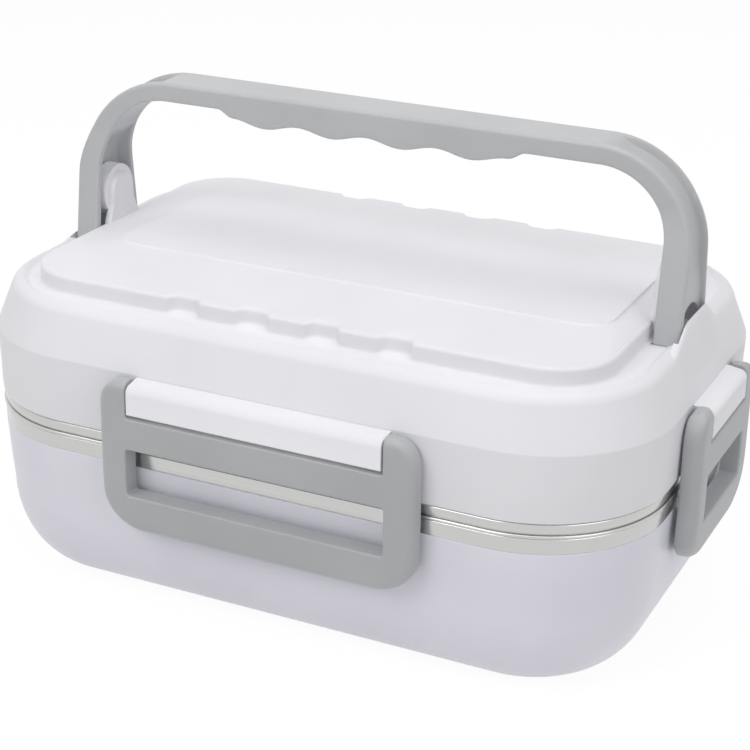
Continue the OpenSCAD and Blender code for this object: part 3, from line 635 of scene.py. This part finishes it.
# Frame-shaped clip: a big radius on the outer edge, a small one round the window and the notch.
def clipBody(name, half, side, turn):
    innerHalf = half - clip["post"]
    top, bottom = clip["topZ"], clip["bottom"]
    bigCorner, topCorner = clip["bottomCorner"], clip["topCorner"]
    big, small = clip["edge"], clip["smallEdge"]
    notchHalf = innerHalf - 0.5
    notchFloor = clip["barTop"]
    # right half of the outline, from the middle of the lower edge up and over to the notch
    contour = [((half - bigCorner) * k / 8, bottom, big) for k in range(9)]
    for x, z in arcPoints(half - bigCorner, bottom + bigCorner, bigCorner, bigCorner, 270, 360, 14)[1:]:
        contour.append((x, z, big))
    for z in (54, 60, 66, 71):
        contour.append((half, z, big))
    for k, (x, z) in enumerate(arcPoints(half - topCorner, top - topCorner, topCorner, topCorner, 0, 90, 12)):
        contour.append((x, z, big + (small - big) * ramp(k / 12)))
    for x, z in arcPoints(notchHalf + 0.5, top - 0.5, 0.5, 0.5, 90, 180, 3)[1:]:
        contour.append((x, z, small * 0.6))
    for z in (84, 81, 78):
        contour.append((notchHalf, z, small))
    for x, z in arcPoints(notchHalf - 0.6, notchFloor + 0.6, 0.6, 0.6, 0, -90, 4):
        contour.append((x, z, small))
    for k in range(1, 6):
        contour.append(((notchHalf - 0.6) * (1 - k / 5), notchFloor, small))
    mirrored = [(-x, z, r) for x, z, r in reversed(contour[1:-1])]
    corners = contour + mirrored
    outline = [(x, z) for x, z, r in corners]
    radii = [r for x, z, r in corners]
    window = rounded([(innerHalf, clip["windowLow"], 1.0), (innerHalf, clip["windowHigh"], 1.0),
                      (-innerHalf, clip["windowHigh"], 1.0), (-innerHalf, clip["windowLow"], 1.0)], 4)
    rear = side + clip["gap"]
    face = rear + clip["thickness"]
    axis = (rear + face) / 2
    bm = bmesh.new()

    def wallRows(points, rs, inwards):
        rows = []
        rearRadii = [min(r * 0.35, 1.1) for r in rs]
        for k in range(4):  # rear edge
            t = math.radians(90 * k / 3)
            ring = offsetRing(points, rearRadii, inwards * (1 - math.sin(t)))
            rows.append([bm.verts.new((p.x, rear + r * (1 - math.cos(t)), p.y))
                         for p, r in zip(ring, rearRadii)])
        for k in range(9):  # front edge
            t = math.radians(90 * k / 8)
            ring = offsetRing(points, rs, inwards * (1 - math.cos(t)))
            rows.append([bm.verts.new((p.x, face - r * (1 - math.sin(t)), p.y))
                         for p, r in zip(ring, rs)])
        for low, high in zip(rows, rows[1:]):
            for i in range(len(points)):
                j = (i + 1) % len(points)
                bm.faces.new((low[i], low[j], high[j], high[i]))
        return rows[0], rows[-1]

    outerRear, outerFront = wallRows(outline, radii, 1.0)
    windowRear, windowFront = wallRows(window, [small] * len(window), -1.0)
    for loops in ((outerFront, windowFront), (outerRear, windowRear)):
        edges = [bm.edges.get(pair) for row in loops for pair in zip(row, row[1:] + row[:1])]
        bmesh.ops.triangle_fill(bm, use_beauty=True, edges=edges)
    for z in [bottom + 2 + 2.5 * k for k in range(9)] + [83.2, 84.0, 84.6, 85.1, 85.5, 85.8, 86.1]:
        geometry = bm.verts[:] + bm.edges[:] + bm.faces[:]
        bmesh.ops.bisect_plane(bm, geom=geometry, dist=1e-5, plane_co=(0, 0, z), plane_no=(0, 0, 1))
    for v in bm.verts:
        above = (v.co.z - clip["pinZ"]) / (clip["thickness"] / 2)
        if above > 0:  # the arm ends wrap round the pin
            v.co.y = axis + (v.co.y - axis) * math.sqrt(max(0.03, 1 - above * above))
        lean = max(0.0, (56 - v.co.z) / (56 - bottom))  # the lower part leans in with the side of the base
        v.co.y -= clip["tuck"] * lean * lean
    obj = finishMesh(name, toMesh(bm, name), clipPlastic, 32)
    placeSide(obj, turn)
    return obj


for label, half, side, turn in sides:
    piece = clipBody("clip_" + label, half, side, turn)
    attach(piece, "latch_" + label)
    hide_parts("latch_" + label)
print("clips made")

# handle
handle = dict(
    top=160.6, half=110.7, outerR=32.5, legThickness=8.7, innerR=22.5, barThickness=6.5, depth=8.8,
    flareStart=143.0, flareSlope=0.1275, footZ=101.5, groove=2.6, channel=5.1, flange=2.5, web=1.6,
    waveHeight=4.6, pitch=24.6, edge=1.3, innerEdge=0.9, footArch=11.0, archX=105.6, archTop=130.5,
    legSteps=26, bendSteps=28, barSteps=66,
)
# The left corner is a little rounder and its leg leans inwards, more above the knee than below it.
leftLeg = dict(rounder=2.5, lean=1.3, moreLean=1.1, kneeZ=126, kneeRun=16, fadeX=40, fadeRun=40)


# Height of the finger-waved underside.
def underBar(x):
    fade = ramp((abs(x) - 2 * handle["pitch"]) / 6)
    wave = 0.5 - 0.5 * math.cos(2 * math.pi * abs(x) / handle["pitch"])
    return handle["top"] - handle["barThickness"] - (1 - fade) * handle["waveHeight"] * (0.55 + 0.45 * wave)


def halfDepth(z):
    return handle["depth"] + handle["flareSlope"] * max(0.0, handle["flareStart"] - z)


# Right half, from foot to the middle of the bar: outer point, inner point.
def handleStations(outerR, innerR):
    h = handle
    out = []
    outerC = (h["half"] - outerR, h["top"] - outerR)
    innerX = h["half"] - h["legThickness"]
    innerC = (innerX - innerR, h["top"] - h["barThickness"] - innerR)
    legTop = outerC[1]
    for k in range(h["legSteps"]):
        f = k / h["legSteps"]
        z = h["footZ"] + (legTop - h["footZ"]) * f
        out.append(((h["half"], z), (innerX, z + (innerC[1] - legTop) * f)))
    for k in range(h["bendSteps"] + 1):
        t = math.radians(90 * k / h["bendSteps"])
        out.append(((outerC[0] + outerR * math.cos(t), outerC[1] + outerR * math.sin(t)),
                    (innerC[0] + innerR * math.cos(t), innerC[1] + innerR * math.sin(t))))
    for k in range(1, h["barSteps"] + 1):
        f = k / h["barSteps"]
        xi = innerC[0] * (1 - f)
        out.append(((outerC[0] * (1 - f), h["top"]), (xi, underBar(xi))))
    return out


# Cross-section: on the legs, a groove in the outer face and a channel in the inner one.
def handleSection(outerP, innerP):
    h = handle
    o, i = Vector(outerP), Vector(innerP)
    thickness = (i - o).length
    inward = (i - o).normalized()
    w = halfDepth(o.y if o.x > 100 else (o.y + i.y) / 2)
    # the groove fades out on the bar and is shallower near the foot
    groove = h["groove"] * ramp((o.x - 78) / 9) * (0.55 + 0.45 * ramp((o.y - 112) / 14))
    channel = h["channel"] * ramp((h["archTop"] + 11 - i.y) / 9) if i.x > 70 else 0.0
    channel = min(channel, thickness - groove - h["web"])
    e, e2 = h["edge"], h["innerEdge"]
    hollow = w - h["flange"]  # half width of groove and channel
    # (y, distance inwards from the outer face)
    pts = [(0.0, groove), (hollow * 0.5, groove), (hollow - 0.9, groove), (hollow - 0.25, groove * 0.9),
           (hollow, groove * 0.55), (hollow + 0.15, groove * 0.2), (hollow + 0.5, 0.0)]
    turns = [math.radians(90 * k / 5) for k in range(6)]
    pts += [(w - e + e * math.sin(t), e - e * math.cos(t)) for t in turns]
    pts += [(w, thickness * 0.35), (w, thickness * 0.65)]
    pts += [(w - e2 + e2 * math.cos(t), thickness - e2 + e2 * math.sin(t)) for t in turns]
    pts += [(hollow + 0.35, thickness), (hollow + 0.1, thickness - 0.1 * channel),
            (hollow, thickness - 0.25 * channel), (hollow - 0.15, thickness - 0.75 * channel),
            (hollow - 0.7, thickness - channel * 0.97), (hollow * 0.5, thickness - channel),
            (0.0, thickness - channel)]
    ring = []
    for y, d in pts:
        p = o + inward * d
        ring.append((p.x, y, p.y))
    return ring + [(x, -y, z) for x, y, z in reversed(ring[1:-1])]


# How far a point of the left half stands inwards of its mirror image.
def leftShift(x, z):
    lean = leftLeg["lean"] + leftLeg["moreLean"] * ramp((z - leftLeg["kneeZ"]) / leftLeg["kneeRun"])
    return lean * ramp((x - leftLeg["fadeX"]) / leftLeg["fadeRun"])


rings = [handleSection(o, i) for o, i in handleStations(handle["outerR"], handle["innerR"])]
leftStations = handleStations(handle["outerR"] + leftLeg["rounder"], handle["innerR"] + leftLeg["rounder"])
leftRings = [[(-x + leftShift(x, z), y, z) for x, y, z in handleSection(o, i)]
             for o, i in reversed(leftStations[:-1])]
handleMesh = toMesh(loft(rings + leftRings, True, True), "handleBody")
# the handle wears the grey plastic painted lighter, as painted light from above
handleBody = finishMesh("handle_body", handleMesh, handlePlasticPaintedLighter, 40)
for side in (-1, 1):
    start = (side * handle["archX"], 0, handle["footZ"] - 1.2)
    cutter = tubeAlong("footArch", start, (side, 0, 0), handle["footArch"], 10, clipPlastic, 96)
    cutOrJoin(handleBody, cutter, "DIFFERENCE")
shadeSmooth(handleBody.data, 40)
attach(handleBody, "handle")
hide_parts("handle")
print("handle made")

# repeated small parts
# Lays copies of the object's own mesh on a grid; every size is a named input.
def layoutTree():
    tree = bpy.data.node_groups.new("partLayout", "GeometryNodeTree")
    sockets = {}
    for label, kind in (("Part", "Geometry"), ("Count X", "Int"), ("Count Y", "Int"),
                        ("Pitch X", "Float"), ("Pitch Y", "Float"), ("Finish", "Material")):
        socket = tree.interface.new_socket(label, in_out="INPUT", socket_type="NodeSocket" + kind)
        sockets[label] = socket.identifier
    tree.interface.new_socket("Result", in_out="OUTPUT", socket_type="NodeSocketGeometry")
    entry = addNode(tree, "NodeGroupInput")
    grid = addNode(tree, "GeometryNodeMeshGrid")
    for axis in "XY":
        gaps = addNode(tree, "ShaderNodeMath", {"operation": "SUBTRACT"})
        tree.links.new(entry.outputs["Count " + axis], gaps.inputs[0])
        gaps.inputs[1].default_value = 1.0
        span = addNode(tree, "ShaderNodeMath", {"operation": "MULTIPLY"})
        tree.links.new(gaps.outputs[0], span.inputs[0])
        tree.links.new(entry.outputs["Pitch " + axis], span.inputs[1])
        tree.links.new(span.outputs[0], grid.inputs["Size " + axis])
        tree.links.new(entry.outputs["Count " + axis], grid.inputs["Vertices " + axis])
    spread = addNode(tree, "GeometryNodeInstanceOnPoints", None,
                     Points=grid.outputs["Mesh"], Instance=entry.outputs["Part"])
    real = addNode(tree, "GeometryNodeRealizeInstances", None, Geometry=spread.outputs["Instances"])
    dressed = addNode(tree, "GeometryNodeSetMaterial", None,
                      Geometry=real.outputs["Geometry"], Material=entry.outputs["Finish"])
    leave = addNode(tree, "NodeGroupOutput")
    tree.links.new(dressed.outputs["Geometry"], leave.inputs[0])
    return tree, sockets


layout, layoutSockets = layoutTree()


def laidOut(obj, material, countX, countY, pitchX, pitchY):
    modifier = obj.modifiers.new("layout", "NODES")
    modifier.node_group = layout
    for label, value in (("Count X", countX), ("Count Y", countY),
                         ("Pitch X", pitchX * mm), ("Pitch Y", pitchY * mm), ("Finish", material)):
        modifier[layoutSockets[label]] = value
    applyModifiers(obj)


# A turned part: (radius, height) profile round its own axis, laid along the given direction.
def lathe(name, profile, material, axis=(0, 0, 1), start=(0, 0, 0), steps=40):
    turns = [2 * math.pi * k / steps for k in range(steps)]
    bm = loft([[(r * math.cos(t), r * math.sin(t), h) for t in turns] for r, h in profile], True, True)
    turn = Vector((0, 0, 1)).rotation_difference(Vector(axis)).to_matrix().to_4x4()
    bm.transform(Matrix.Translation(Vector(start)) @ turn)
    return finishMesh(name, toMesh(bm, name), material, 32)


# A round bar with chamfered ends.
def barProfile(radius, length, chamfer):
    return [(radius - chamfer, 0), (radius, chamfer), (radius, length - chamfer), (radius - chamfer, length)]


small = dict(
    footX=55.0, footY=30.0, footRadius=6.0, footHeight=2.0, footRound=0.7,
    screwHead=3.0, screwShank=1.35, screwThread=0.22, threadPitch=0.7, threadEnd=7.0,
    headLow=0.9, headHeight=1.3, slotLong=1.6, slotShort=0.35,
    latchPin=1.5, latchPinEnd=5.2, latchChamfer=0.3,
    handlePin=2.5, handlePinFrom=99.4, handlePinTo=108.3, handleChamfer=0.4,
    ribDepth=0.7, ribWidth=7.2, ribLow=54.8, ribHigh=58.4, ribInset=5,
)
footRound = small["footRound"]
footProfile = [(0.01, 0.5), (3.4, 0.5), (3.9, 0.12), (4.3, 0)]
for t in (0, 22, 45, 68, 90):
    footProfile.append((small["footRadius"] - footRound + footRound * math.sin(math.radians(t)),
                        footRound - footRound * math.cos(math.radians(t))))
footProfile.append((small["footRadius"], small["footHeight"]))
foot = lathe("rubber_feet_set", footProfile, footRubber)
laidOut(foot, footRubber, 2, 2, 2 * small["footX"], 2 * small["footY"])
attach(foot, "base")
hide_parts("rubber_feet")

headLow, headRadius, shankRadius = small["headLow"], small["screwHead"], small["screwShank"]
headHigh = headLow + small["headHeight"]
screwProfile = [(0.01, headLow), (headRadius - 0.5, headLow), (headRadius - 0.15, headLow + 0.18),
                (headRadius, headLow + 0.5), (headRadius, headLow + 1.15), (headRadius - 0.15, headHigh),
                (shankRadius, headHigh)]
z = headHigh
while z < headLow + small["threadEnd"]:
    screwProfile += [(shankRadius - small["screwThread"], z),
                     (shankRadius + small["screwThread"] * 0.6, z + small["threadPitch"] / 2)]
    z += small["threadPitch"]
screwProfile.append((0.6, headLow + small["threadEnd"] + 0.45))
screw = lathe("cover_screw_set", screwProfile, screwSteel)
for x, y in ((small["slotLong"], small["slotShort"]), (small["slotShort"], small["slotLong"])):
    recess = roundedBlock("recess", (-x, -y, headLow - 1), (x, y, headLow + 0.75), 0.12, screwSteel, 1)
    cutOrJoin(screw, recess, "DIFFERENCE")
laidOut(screw, screwSteel, 2, 2, 2 * cornerX, 2 * cornerY)
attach(screw, "base")
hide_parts("cover_screws")

pinOut = clip["gap"] + clip["thickness"] / 2
longReach = clip["longHalf"] - small["latchPinEnd"]
shortReach = clip["shortHalf"] - small["latchPinEnd"]
pinsLong = lathe("latch_pins_long", barProfile(small["latchPin"], 2 * longReach, small["latchChamfer"]),
                 screwSteel, (1, 0, 0), (-longReach, 0, clip["pinZ"]))
laidOut(pinsLong, screwSteel, 1, 2, 0.0, 2 * (body["halfWidth"] + pinOut))
pinsShort = lathe("latch_pins_short", barProfile(small["latchPin"], 2 * shortReach, small["latchChamfer"]),
                  screwSteel, (0, 1, 0), (0, -shortReach, clip["pinZ"]))
laidOut(pinsShort, screwSteel, 2, 1, 2 * (body["halfLength"] + pinOut), 0.0)
for pins in (pinsLong, pinsShort):
    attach(pins, "lid")
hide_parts("latch_pins")

pinLength = small["handlePinTo"] - small["handlePinFrom"]
handlePins = lathe("handle_pin_pair", barProfile(small["handlePin"], pinLength, small["handleChamfer"]),
                   screwSteel, (1, 0, 0), (-pinLength / 2, 0, body["handlePivot"]))
laidOut(handlePins, screwSteel, 2, 1, small["handlePinTo"] + small["handlePinFrom"], 0.0)
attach(handlePins, "handle")
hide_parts("handle_pins")

for label, half, side, turn in sides:
    rear = side + clip["gap"]
    ribHalf = small["ribWidth"] / 2
    rib = roundedBlock("clip_ribs_" + label, (-ribHalf, rear - small["ribDepth"], small["ribLow"]),
                       (ribHalf, rear + 0.4, small["ribHigh"]), 0.3, clipPlastic, 3)
    laidOut(rib, clipPlastic, 2, 1, 2 * (half - small["ribInset"]), 0.0)
    placeSide(rib, turn)
    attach(rib, "latch_" + label)
print("small parts laid out")

# carried-over nodes
finishes = dict(
    bottom_cover=basePlastic, heating_plate=plateAluminium,
    ptc_heater=heaterFilm, heater_clamp=rimSteel, clamp_screws=screwSteel, thermostat=blackPlastic,
    thermal_fuse=liningPlastic, wiring=wireSilicone, power_inlet=blackPlastic, inlet_contacts=contactBrass,
    lid_liner=liningPlastic, seal_ring=sealSilicone,
)
for name, material in finishes.items():
    nodes[name].data.materials.clear()
    nodes[name].data.materials.append(material)
print("frame nodes finished")

# floor, light and camera
studio = dict(floorSize=4.0, keyPower=7.6, fillPower=3.4, topPower=5.5, topFillPower=6.5, worldLevel=0.38)


# 1 for camera, glossy and transmission rays, which see plain white.
def seenDirectly(tree):
    path = addNode(tree, "ShaderNodeLightPath")
    seen = addNode(tree, "ShaderNodeMath", {"operation": "MAXIMUM"})
    tree.links.new(path.outputs["Is Camera Ray"], seen.inputs[0])
    tree.links.new(path.outputs["Is Glossy Ray"], seen.inputs[1])
    both = addNode(tree, "ShaderNodeMath", {"operation": "MAXIMUM"})
    tree.links.new(seen.outputs[0], both.inputs[0])
    tree.links.new(path.outputs["Is Transmission Ray"], both.inputs[1])
    return both.outputs[0]


floorMesh = bpy.data.meshes.new("floor")
half = studio["floorSize"] / 2
floorCorners = [(-half, -half, 0), (half, -half, 0), (half, half, 0), (-half, half, 0)]
floorMesh.from_pydata(floorCorners, [], [(0, 1, 2, 3)])
floor = bpy.data.objects.new("floor", floorMesh)
bpy.context.scene.collection.objects.link(floor)
floorMaterial = bpy.data.materials.new("paleFloor")
floorMaterial.use_nodes = True
tree = floorMaterial.node_tree
tree.nodes.clear()
matt = addNode(tree, "ShaderNodeBsdfDiffuse", {"Color": srgb("#e6e6e6")})
glow = addNode(tree, "ShaderNodeEmission", {"Color": (1, 1, 1, 1), "Strength": 0.9})
both = addNode(tree, "ShaderNodeAddShader")
faint = addNode(tree, "ShaderNodeBsdfDiffuse", {"Color": (0.12, 0.12, 0.12, 1)})
tree.links.new(faint.outputs[0], both.inputs[0])
tree.links.new(glow.outputs[0], both.inputs[1])
mix = addNode(tree, "ShaderNodeMixShader")
tree.links.new(seenDirectly(tree), mix.inputs[0])
tree.links.new(matt.outputs[0], mix.inputs[1])
tree.links.new(both.outputs[0], mix.inputs[2])
output = addNode(tree, "ShaderNodeOutputMaterial")
tree.links.new(mix.outputs[0], output.inputs["Surface"])
floorMesh.materials.append(floorMaterial)

world = bpy.data.worlds.new("studio")
bpy.context.scene.world = world
world.use_nodes = True
tree = world.node_tree
tree.nodes.clear()
dim = addNode(tree, "ShaderNodeBackground", {"Color": (1, 1, 1, 1), "Strength": studio["worldLevel"]})
bright = addNode(tree, "ShaderNodeBackground", {"Color": (1, 1, 1, 1), "Strength": 1.0})
mix = addNode(tree, "ShaderNodeMixShader")
tree.links.new(seenDirectly(tree), mix.inputs[0])
tree.links.new(dim.outputs[0], mix.inputs[1])
tree.links.new(bright.outputs[0], mix.inputs[2])
output = addNode(tree, "ShaderNodeOutputWorld")
tree.links.new(mix.outputs[0], output.inputs["Surface"])


def softBox(name, place, aim, size, power, shadow=True):
    data = bpy.data.lights.new(name, "AREA")
    data.shape = "RECTANGLE"
    data.size, data.size_y = size
    data.energy = power
    data.use_shadow = shadow
    lamp = bpy.data.objects.new(name, data)
    lamp.location = place
    lamp.rotation_euler = (Vector(aim) - Vector(place)).to_track_quat("-Z", "Y").to_euler()
    bpy.context.scene.collection.objects.link(lamp)


softBox("keyLight", (-0.5, -1.2, 1.2), (0, 0, 0.06), (0.9, 0.9), studio["keyPower"])
softBox("fillLight", (1.3, -0.6, 0.8), (0, 0, 0.06), (0.9, 0.9), studio["fillPower"])
softBox("topLight", (0.1, 0.2, 1.7), (0, 0, 0.08), (1.4, 1.2), studio["topPower"])
softBox("topFill", (0.1, -0.1, 1.7), (0, 0, 0.08), (1.4, 1.2), studio["topFillPower"], False)

# Camera: placed by its distance, azimuth and height round the box.
view = dict(azimuth=25.16, elevation=22.75, roll=1.03, distance=655.93, lookX=1.18, lookZ=66.05, focal=91.86)
az, el, roll = (math.radians(view[k]) for k in ("azimuth", "elevation", "roll"))
back = Vector((math.sin(az) * math.cos(el), -math.cos(az) * math.cos(el), math.sin(el)))
right = (-back).cross(Vector((0, 0, 1))).normalized()
up = right.cross(-back)
rightR = right * math.cos(roll) + up * math.sin(roll)
upR = up * math.cos(roll) - right * math.sin(roll)
place = (Vector((view["lookX"], 0, view["lookZ"])) + back * view["distance"]) * mm
cameraData = bpy.data.cameras.new("camera")
cameraData.lens = view["focal"]
cameraData.sensor_width = 36
camera = bpy.data.objects.new("camera", cameraData)
bpy.context.scene.collection.objects.link(camera)
camera.matrix_world = Matrix(((rightR.x, upR.x, back.x, place.x), (rightR.y, upR.y, back.y, place.y),
                              (rightR.z, upR.z, back.z, place.z), (0, 0, 0, 1)))
bpy.context.scene.camera = camera
bpy.context.scene.view_settings.view_transform = "Standard"
print("studio made")
